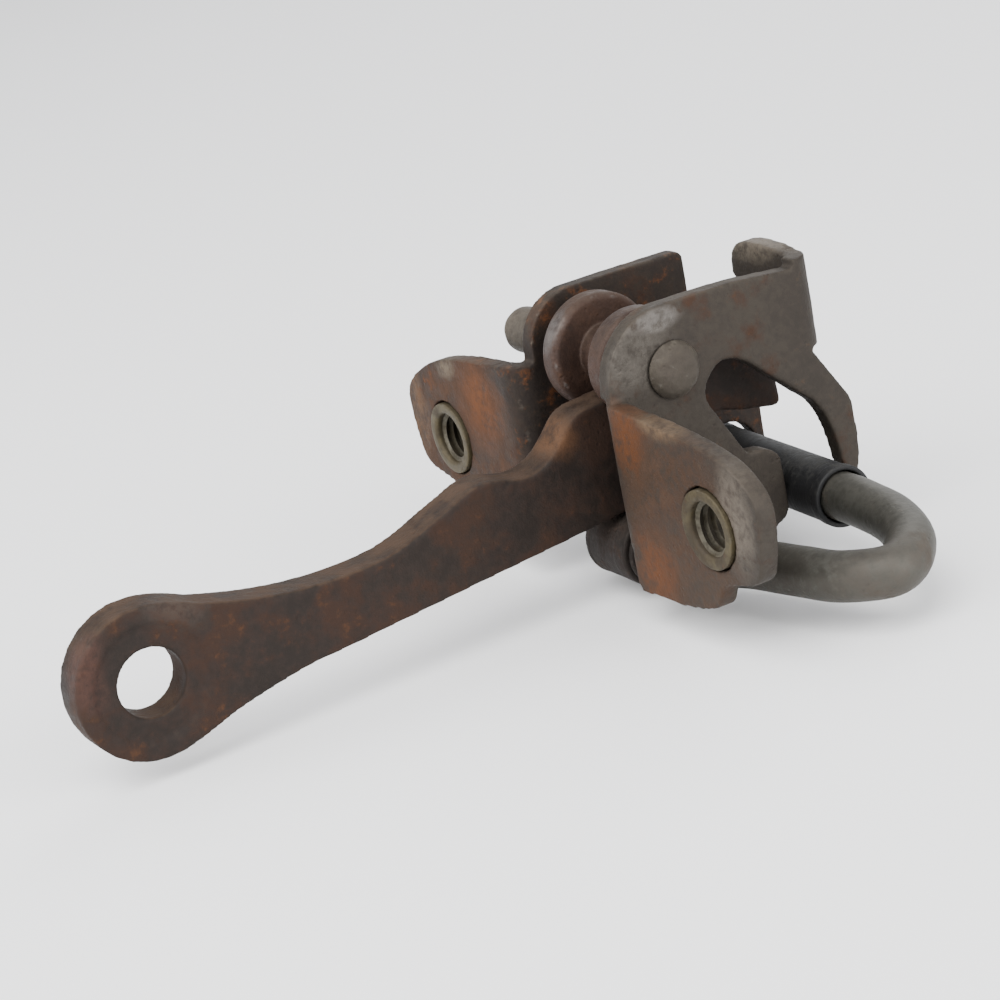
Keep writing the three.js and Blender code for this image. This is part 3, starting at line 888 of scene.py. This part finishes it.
@dataclass
class BoltInserts:
    """The two threaded inserts pressed through the ears."""

    bore: float = 4 * MM
    outer: float = 5.75 * MM
    collar: float = 6.9 * MM
    front: float = 0.5 * MM
    back: float = -5.6 * MM
    collar_front: float = -3.3 * MM
    collar_back: float = -4.5 * MM
    pitch: float = 1.25 * MM
    turns: int = 4
    tooth: float = 0.62 * MM
    finish: AgedMetal = AgedMetal(
        name="yellow_passivated_zinc",
        skin=(0.063, 0.05, 0.025),
        stain=(0.04, 0.032, 0.018),
        rust=(0.021, 0.015, 0.009),
        bloom=(0.042, 0.023, 0.011),
        bare=(0.105, 0.095, 0.07),
        dust=DUST,
        rusted=0.35,
        bloomed=0.12,
        worn=0.75,
        smoothness=0.12,
        metal=0.35,
        relief=0.00009,
        shift=(0.12, 0.92, 0.44),
        patches=(
            # Painted shade: a near-black patch deep inside each threaded bore.
            Patch((-0.003, 0.036, 0.0), (0.0042, 0.0052, 0.0052), (0.013, 0.011, 0.007), 0.9, 0.0, 0.2),
            Patch((-0.003, -0.036, 0.0), (0.0042, 0.0052, 0.0052), (0.013, 0.011, 0.007), 0.9, 0.0, 0.2),
        ),
    )

    def _thread(self, name: str, bolt_y: float) -> bpy.types.Object:
        """Draws the ridge of the thread, a triangle screwed along the bore."""
        bpy.ops.object.select_all(action="DESELECT")
        bpy.ops.mesh.primitive_circle_add(
            vertices=3,
            radius=self.tooth,
            location=(0.0, self.bore, 0.0),
            rotation=(0.0, math.pi / 2, math.pi),
        )
        ridge = bpy.context.active_object
        ridge.name = name
        settle(ridge)
        finished_with(
            ridge,
            "SCREW",
            axis="Z",
            angle=math.tau,
            screw_offset=self.pitch,
            iterations=self.turns,
            steps=64,
            render_steps=64,
        )
        bpy.ops.object.mode_set(mode="EDIT")
        bpy.ops.mesh.select_all(action="SELECT")
        bpy.ops.mesh.fill_holes(sides=3)
        bpy.ops.object.mode_set(mode="OBJECT")
        ridge.matrix_world = Matrix.Translation((self.back + 0.3 * MM, bolt_y, 0.0)) @ Matrix.Rotation(
            math.pi / 2, 4, "Y"
        )
        settle(ridge)
        outward(ridge)
        smoothed(ridge, 30.0)
        return ridge

    def _sleeve(self, name: str, bolt_y: float) -> bpy.types.Object:
        """Turns the insert's body with its collar behind the ear."""
        corners = [
            (self.bore, self.front - 0.35 * MM),
            (self.bore + 0.45 * MM, self.front),
            (self.outer, self.front),
            (self.outer, self.collar_front),
            (self.collar, self.collar_front),
            (self.collar, self.collar_back),
            (self.outer, self.collar_back),
            (self.outer, self.back),
            (self.bore + 0.35 * MM, self.back),
            (self.bore, self.back + 0.35 * MM),
        ]
        return turned(name, rounded(corners, 0.25 * MM, 3, True), Along.X, (0.0, bolt_y, 0.0), 80, True)

    def build(self) -> None:
        """Builds both inserts, each with its thread joined to it."""
        for side, bolt_y in (("near", BOLT_Y), ("far", -BOLT_Y)):
            sleeve = self._sleeve(f"{side}_bolt_insert", bolt_y)
            thread = self._thread(f"{side}_insert_thread", bolt_y)
            pick_only(sleeve)
            thread.select_set(True)
            bpy.ops.object.join()
            dressed(sleeve, self.finish, Body.HOUSING, Slot.INSERT, f"{side}_insert")


@dataclass
class FixedRoller:
    """The upper spool roller on its riveted pin, between two distance collars."""

    pin_radius: float = 2.6 * MM
    stud_radius: float = 3.6 * MM
    stud_length: float = 14 * MM
    rivet_head: float = 4.2 * MM
    rivet_height: float = 1.3 * MM
    flange: float = 8.7 * MM
    barrel: float = 7.9 * MM
    far_end: float = 7.4 * MM
    near_end: float = 8 * MM
    track: float = 4.21 * MM
    track_half: float = 3.6 * MM
    wear: float = 0.08 * MM
    collar: float = 5.2 * MM
    dent_size: float = 1.6 * MM
    dent_depth: float = 0.16 * MM
    pin_finish: AgedMetal = AgedMetal(
        name="peened_pin_steel",
        skin=(0.054, 0.046, 0.035),
        stain=(0.037, 0.03, 0.023),
        rust=(0.03, 0.018, 0.012),
        bloom=(0.054, 0.03, 0.015),
        bare=(0.114, 0.104, 0.09),
        dust=(0.101, 0.087, 0.07),
        rusted=0.25,
        bloomed=0.1,
        dusted=0.5,
        smoothness=0.08,
        shift=(0.55, 0.61, 0.13),
        patches=(
            Patch((PIN[0], -0.026, PIN[2]), (0.008, 0.01, 0.008), (0.1, 0.084, 0.066), 0.6),
            Patch((PIN[0], 0.0165, PIN[2]), (0.005, 0.003, 0.005), (0.043, 0.035, 0.028), 0.7),
        ),
    )
    roller_finish: AgedMetal = AgedMetal(
        name="turned_roller_steel",
        skin=(0.044, 0.025, 0.018),
        stain=(0.03, 0.018, 0.014),
        rust=(0.031, 0.015, 0.009),
        bloom=(0.054, 0.025, 0.013),
        bare=(0.118, 0.107, 0.1),
        dust=DUST,
        rusted=0.4,
        bloomed=0.15,
        smoothness=0.14,
        metal=0.4,
        shift=(0.21, 0.33, 0.77),
        patches=(
            # Painted highlight on the far flange's upper rim, over a polished patch.
            Patch((-0.004, -0.0055, 0.0215), (0.004, 0.0022, 0.005), (0.126, 0.118, 0.113), 0.6, 0.6),
        ),
    )

    def _pin(self) -> bpy.types.Object:
        """Turns the pin, with a hammered head at the near wall and a domed stud past the far one."""
        seat = OUTER_Y + GAP
        stud_end = -seat - self.stud_length
        dome = [(0.3 * MM, stud_end), (2.0 * MM, stud_end + 0.1 * MM)]
        dome += [(3.1 * MM, stud_end + 0.75 * MM), (self.stud_radius, stud_end + 1.8 * MM)]
        neck = [(self.stud_radius, -seat), (self.pin_radius, -seat), (self.pin_radius, seat)]
        top = seat + self.rivet_height
        head = [(self.rivet_head, seat), (self.rivet_head, seat + self.rivet_height * 0.2)]
        head += [(self.rivet_head * 0.8, seat + self.rivet_height * 0.72)]
        head += [(self.rivet_head * 0.45, top - 0.05 * MM), (0.3 * MM, top)]
        return turned("riveted_roller_pin", rounded([*dome, *neck, *head], 0.5 * MM), Along.Y, PIN)

    def _roller(self) -> bpy.types.Object:
        """Turns the spool, whose track is worn hollow where the arm runs."""
        far, near, half, wear = self.far_end, self.near_end, self.track_half, self.wear
        bore = self.pin_radius + GAP
        corners = [
            (bore, -far),
            (self.flange - 0.5 * MM, -far),
            (self.flange, -far + 0.5 * MM),
            (self.flange, -half - 0.7 * MM),
            (self.flange - 0.7 * MM, -half),
            (self.track, -half),
            (self.track - wear, -half * 0.7),
            (self.track - wear, half * 0.7),
            (self.track, half),
            (self.barrel - 0.7 * MM, half),
            (self.barrel, half + 0.7 * MM),
            (self.barrel, near - 0.7 * MM),
            (self.barrel - 0.7 * MM, near),
            (bore, near),
        ]
        return turned("upper_spool_roller", rounded(corners, 0.4 * MM, 4, True), Along.Y, PIN, 112, True)

    def build(self) -> None:
        """Builds the roller, its pin and its collars."""
        pin = self._pin()
        pattern = clouds("pin_dents", self.dent_size)
        finished_with(pin, "DISPLACE", texture=pattern, strength=self.dent_depth, mid_level=0.5)
        dressed(pin, self.pin_finish, Body.HOUSING, Slot.PIN, "roller_pin")
        dressed(self._roller(), self.roller_finish, Body.FIXED_ROLLER, Slot.ROLLER, "upper_roller")
        for side, sign, end in (("near", 1, self.near_end), ("far", -1, self.far_end)):
            inner, outer = end + GAP, INNER_Y - GAP
            bore = self.pin_radius + GAP
            corners = [(bore, inner), (self.collar, inner), (self.collar, outer), (bore, outer)]
            placed = [(radius, place * sign) for radius, place in corners]
            collar = turned(f"{side}_collar", rounded(placed, 0.3 * MM, 3, True), Along.Y, PIN, 64, True)
            dressed(collar, self.pin_finish, Body.HOUSING, Slot.PIN, f"{side}_distance_collar")


@dataclass
class SpacerStay:
    """The riveted spacer that holds the walls' feet apart."""

    centre: Point = (-19.5 * MM, 0.0, -10.7 * MM)
    tube: float = 3.6 * MM
    rivet: float = 2 * MM
    cap: float = 3.4 * MM
    cap_height: float = 1.4 * MM
    finish: AgedMetal = AgedMetal(
        name="spacer_steel",
        skin=(0.029, 0.024, 0.02),
        stain=(0.024, 0.018, 0.015),
        rust=RUST,
        bloom=(0.044, 0.022, 0.01),
        bare=WORN,
        dust=DUST,
        rusted=0.35,
        shift=(0.67, 0.25, 0.88),
    )

    def build(self) -> None:
        """Builds the tube and the rivet through it."""
        half, bore = INNER_Y - GAP, self.rivet + GAP
        corners = [(bore, -half), (self.tube, -half), (self.tube, half), (bore, half)]
        tube = turned("spacer_sleeve", rounded(corners, 0.3 * MM, 3, True), Along.Y, self.centre, 64, True)
        dressed(tube, self.finish, Body.HOUSING, Slot.PLATE, "spacer_tube")
        seat = OUTER_Y + GAP
        end = seat + self.cap_height
        half_profile = [(self.rivet, seat), (self.cap, seat), (self.cap, seat + 0.35 * MM)]
        half_profile += [(self.cap * 0.7, end - 0.2 * MM), (0.3 * MM, end)]
        profile = [(radius, -place) for radius, place in reversed(half_profile)] + half_profile
        rivet = turned("spacer_rivet_pin", rounded(profile, 0.35 * MM), Along.Y, self.centre, 64)
        dressed(rivet, self.finish, Body.HOUSING, Slot.PIN, "spacer_rivet")


@dataclass
class TorsionRod:
    """The hairpin rod, its anchored leg, and the sleeve that carries it through the walls."""

    split: float = 2 * MM
    crank_y: float = -20.5 * MM
    crank_run: float = 31 * MM
    sleeve_near: float = 22.4 * MM
    sleeve_far: float = -15.6 * MM
    sleeve_wall: float = 0.7 * MM
    lip: float = 0.28 * MM
    stud_clear: float = 3.6 * MM
    wave_size: float = 7 * MM
    wave_depth: float = 0.14 * MM
    chamfer: float = 0.6 * MM
    rod_finish: AgedMetal = AgedMetal(
        name="spring_rod_steel",
        skin=(0.064, 0.063, 0.054),
        stain=(0.046, 0.044, 0.037),
        rust=(0.036, 0.026, 0.017),
        bloom=(0.049, 0.033, 0.02),
        bare=(0.092, 0.085, 0.074),
        dust=(0.082, 0.074, 0.062),
        rusted=0.22,
        bloomed=0.06,
        dusted=0.45,
        worn=0.4,
        smoothness=0.12,
        relief=0.0001,
        shift=(0.05, 0.74, 0.36),
        patches=(
            Patch((-0.02, 0.047, -0.011), (0.014, 0.007, 0.006), (0.05, 0.042, 0.034), 0.8),
            # Painted shade: the lower leg's run beside the near wall is darkened.
            Patch((-0.013, 0.03, -0.012), (0.006, 0.016, 0.006), (0.024, 0.019, 0.014), 0.9),
        ),
    )
    sleeve_finish: DustyRubber = DustyRubber(
        name="dusty_sleeve",
        colour=(0.0065, 0.0065, 0.007),
        grey=(0.013, 0.013, 0.013),
        dust=(0.027, 0.026, 0.023),
        shift=(0.9, 0.2, 0.6),
    )

    def _free_route(self) -> list[Vector]:
        """The centre line from the sleeve's middle, round the bend and back under the arm."""
        foot = Vector(LOWER_AXIS)
        bend = [(-30.3, 36, -9.05), (-27, 43.4, -9.85), (-21.3, 47.2, -10.65), (-16.3, 42, -11.25)]
        bend += [(-14.3, 34, -11.55)]
        lead = [on_rod(self.split + GAP / 2), on_rod(10 * MM), on_rod(20 * MM), on_rod(28 * MM)]
        tail = [(-4.2, 25, 0.5), (-0.6, 16, 0.2), (0.0, 11.5, 0.0), (0.0, 4.0, 0.0), (0.0, -6.6, 0.0)]
        points = [tuple(point) for point in lead]
        points += [tuple(value * MM for value in point) for point in bend]
        points += [(foot.x + dx * MM, y * MM, foot.z + dz * MM) for dx, y, dz in tail]
        return catmull_route(points, 9)

    def _anchor_route(self) -> list[Vector]:
        """The centre line of the anchored leg, out through the far wall and up behind the stud."""
        elbow = on_rod(self.crank_y)
        reach = Vector((PIN[0] - elbow.x, PIN[2] - elbow.z))
        clear = ROD_RADIUS + self.stud_clear + GAP
        angle = math.atan2(reach.y, reach.x) + math.asin(clear / reach.length)
        rise = Vector((math.cos(angle), 0.0, math.sin(angle)))
        lead = [on_rod(self.split - GAP / 2), on_rod(-6 * MM), on_rod(-13 * MM), on_rod(-16.4 * MM)]
        turn = [elbow + rise * 1.4 * MM + Vector((0.0, 1.2 * MM, 0.0))]
        foot = Vector((elbow.x, self.crank_y, elbow.z))
        leg = [foot + rise * run for run in (5 * MM, 14 * MM, self.crank_run)]
        return catmull_route([tuple(point) for point in [*lead, *turn, *leg]], 9)

    def _sleeve(self) -> bpy.types.Object:
        """Turns the sleeve, with rolled lips and shallow rings, and lays it along the rod."""
        start, end = on_rod(self.sleeve_far), on_rod(self.sleeve_near)
        length = (end - start).length
        inner = ROD_RADIUS + GAP
        outer = inner + self.sleeve_wall
        corners = [(inner, 0.0), (outer, 0.0), (outer, 1.4 * MM), (outer - 0.12 * MM, 1.8 * MM)]
        corners += [(outer - 0.12 * MM, length - 2.2 * MM), (outer + 0.05 * MM, length - 1.8 * MM)]
        corners += [(outer + 0.05 * MM, length), (inner, length)]
        profile = rounded(corners, self.lip, 3, True)
        sleeve = turned("rod_bearing_sleeve", profile, Along.Y, (0, 0, 0), 80, True)
        lay_between(sleeve, start, end)
        return sleeve

    def build(self) -> None:
        """Builds both halves of the rod and the sleeve."""
        hairpin = bar_along("hairpin_rod", self._free_route(), ROD_RADIUS, self.chamfer)
        pattern = clouds("rod_waves", self.wave_size)
        finished_with(hairpin, "DISPLACE", texture=pattern, strength=self.wave_depth, mid_level=0.5)
        smoothed(hairpin)
        dressed(hairpin, self.rod_finish, Body.FREE_ROD, Slot.ROD, "rod_hairpin")
        anchor = bar_along("anchored_rod_leg", self._anchor_route(), ROD_RADIUS, self.chamfer)
        smoothed(anchor)
        dressed(anchor, self.rod_finish, Body.HOUSING, Slot.ROD, "rod_anchor_leg")
        dressed(self._sleeve(), self.sleeve_finish, Body.HOUSING, Slot.SLEEVE, "rod_sleeve")


@dataclass
class SprungRoller:
    """The lower plain roller on the rod's free leg, between two retaining rings."""

    barrel: float = 5.6 * MM
    near_end: float = 6.3 * MM
    far_end: float = 4.3 * MM
    worn_half: float = 3.3 * MM
    finish: AgedMetal = AgedMetal(
        name="sprung_roller_steel",
        skin=(0.02, 0.015, 0.013),
        stain=(0.015, 0.012, 0.01),
        rust=(0.018, 0.01, 0.007),
        bloom=(0.032, 0.016, 0.008),
        bare=(0.065, 0.058, 0.051),
        dust=DUST,
        rusted=0.4,
        shift=(0.44, 0.08, 0.52),
    )

    def build(self) -> None:
        """Builds the roller and its two rings."""
        bore, worn = ROD_RADIUS + GAP, self.barrel - 0.07 * MM
        corners = [
            (bore, -self.far_end),
            (self.barrel, -self.far_end),
            (self.barrel, -self.worn_half - 0.2 * MM),
            (worn, -self.worn_half),
            (worn, self.worn_half),
            (self.barrel, self.worn_half + 0.3 * MM),
            (self.barrel, self.near_end),
            (bore, self.near_end),
        ]
        profile = rounded(corners, 0.5 * MM, 4, True)
        roller = turned("lower_barrel_roller", profile, Along.Y, LOWER_AXIS, 96, True)
        dressed(roller, self.finish, Body.SPRUNG_ROLLER, Slot.ROLLER, "lower_roller")
        for side in ("near", "far"):
            ring = copied(f"{side}_retaining_ring", f"{side}_open_ring")
            finished_with(ring, "REMESH", mode="VOXEL", voxel_size=0.12 * MM, adaptivity=0.0)
            finished_with(ring, "SMOOTH", factor=0.5, iterations=3)
            smoothed(ring, 60.0)
            dressed(ring, self.finish, Body.FREE_ROD, Slot.PIN, f"{side}_retaining_ring")


@dataclass
class CheckArm:
    """The flat cam arm, with a coined eye at its door-pillar end."""

    grain: float = 0.36 * MM
    softening: int = 4
    dents: tuple[tuple[float, float], ...] = ((12 * MM, 0.2 * MM), (1.9 * MM, 0.04 * MM))
    finish: AgedMetal = AgedMetal(
        name="rusted_arm_steel",
        skin=(0.022, 0.015, 0.012),
        stain=(0.015, 0.011, 0.009),
        rust=(0.025, 0.012, 0.007),
        bloom=(0.05, 0.021, 0.009),
        bare=(0.052, 0.043, 0.035),
        dust=(0.044, 0.037, 0.029),
        rusted=0.5,
        bloomed=0.14,
        dusted=0.25,
        worn=0.45,
        shift=(0.14, 0.52, 0.29),
        patches=(
            Patch((0.002, 0.0, 0.0075), (0.004, 0.006, 0.004), (0.109, 0.05, 0.021), 0.7),
            Patch((0.079, 0.003, 0.002), (0.004, 0.005, 0.012), (0.063, 0.029, 0.021), 0.6),
            Patch((0.064, 0.0032, 0.006), (0.006, 0.003, 0.007), (0.055, 0.042, 0.034), 0.5),
        ),
        biases=(Bias((0.08, 0.0, 1.0), (0.052, 0.03, 0.0175), 0.8, 0.5),),
    )

    def build(self) -> None:
        """Builds the arm."""
        arm = copied("check_arm", "cam_arm")
        weathered(arm, self.grain, self.softening, self.dents)
        dressed(arm, self.finish, Body.ARM, Slot.ARM, "check_arm")


@dataclass
class Studio:
    """The camera, the pale floor and the soft lights."""

    eye: Point = (0.17228, 0.32041, 0.12137)
    right: Point = (-0.849, 0.495, -0.186)
    up: Point = (-0.315, -0.192, 0.930)
    lens: float = 94.48
    sensor: float = 36.0
    floor_drop: float = 1.5 * MM
    floor_half: float = 5.0
    floor_cells: int = 40
    paper: PlainPaper = PlainPaper("pale_paper", (0.95, 0.95, 0.947))
    lamps: tuple[tuple[str, Point, float, float], ...] = (
        ("key", (0.45, 0.35, 0.85), 0.7, 12.0),
        ("fill", (-0.2, 0.95, 0.35), 0.9, 15.0),
        ("front", (0.9, -0.1, 0.3), 0.8, 10.0),
        ("back", (-0.8, -0.6, 0.6), 0.8, 5.0),
    )
    sky: Colour = (0.95, 0.96, 1.0)
    sky_strength: float = 1.0

    def _camera(self) -> None:
        """Places the camera at the viewing angle."""
        data = bpy.data.cameras.new("view_camera")
        data.sensor_width = self.sensor
        data.lens = self.lens
        data.clip_start = 0.01
        data.clip_end = 50.0
        camera = bpy.data.objects.new("view_camera", data)
        bpy.context.scene.collection.objects.link(camera)
        right = Vector(self.right).normalized()
        back = right.cross(Vector(self.up)).normalized()
        turn = Matrix((right, back.cross(right), back)).transposed().to_4x4()
        camera.matrix_world = Matrix.Translation(self.eye) @ turn
        bpy.context.scene.camera = camera

    def _floor(self, lowest: float) -> None:
        """Lays the flat floor a little below the object."""
        bpy.ops.object.select_all(action="DESELECT")
        bpy.ops.mesh.primitive_grid_add(
            x_subdivisions=self.floor_cells,
            y_subdivisions=self.floor_cells,
            size=self.floor_half * 2,
            location=(0, 0, lowest - self.floor_drop),
        )
        floor = bpy.context.active_object
        floor.name = "pale_floor"
        settle(floor)
        floor.data.materials.append(self.paper.material())
        floor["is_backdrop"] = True

    def _lamps(self) -> None:
        """Hangs the soft square lamps, each facing the object."""
        for name, place, size, power in self.lamps:
            data = bpy.data.lights.new(f"{name}_lamp", "AREA")
            data.size = size
            data.energy = power
            lamp = bpy.data.objects.new(f"{name}_lamp", data)
            bpy.context.scene.collection.objects.link(lamp)
            turn = Vector(place).to_track_quat("Z", "Y").to_matrix().to_4x4()
            lamp.matrix_world = Matrix.Translation(place) @ turn

    def _sky(self) -> None:
        """Fills the room with an even pale light."""
        world = bpy.data.worlds.new("studio_air")
        world.use_nodes = True
        background = world.node_tree.nodes["Background"]
        background.inputs["Color"].default_value = (*self.sky, 1.0)
        background.inputs["Strength"].default_value = self.sky_strength
        bpy.context.scene.world = world

    def build(self, lowest: float) -> None:
        """Builds the studio round an object whose lowest point is given."""
        self._camera()
        self._floor(lowest)
        self._lamps()
        self._sky()


def main() -> None:
    """Builds the door check and its studio in order."""
    logging.basicConfig(level=logging.INFO, format="%(name)s: %(message)s")
    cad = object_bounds()
    Studio().build(cad[0].z)
    builders: list[Callable[[], None]] = [
        SidePlates().build,
        BoltInserts().build,
        FixedRoller().build,
        SpacerStay().build,
        TorsionRod().build,
        SprungRoller().build,
        CheckArm().build,
    ]
    for build in builders:
        build()


if __name__ == "__main__":
    main()
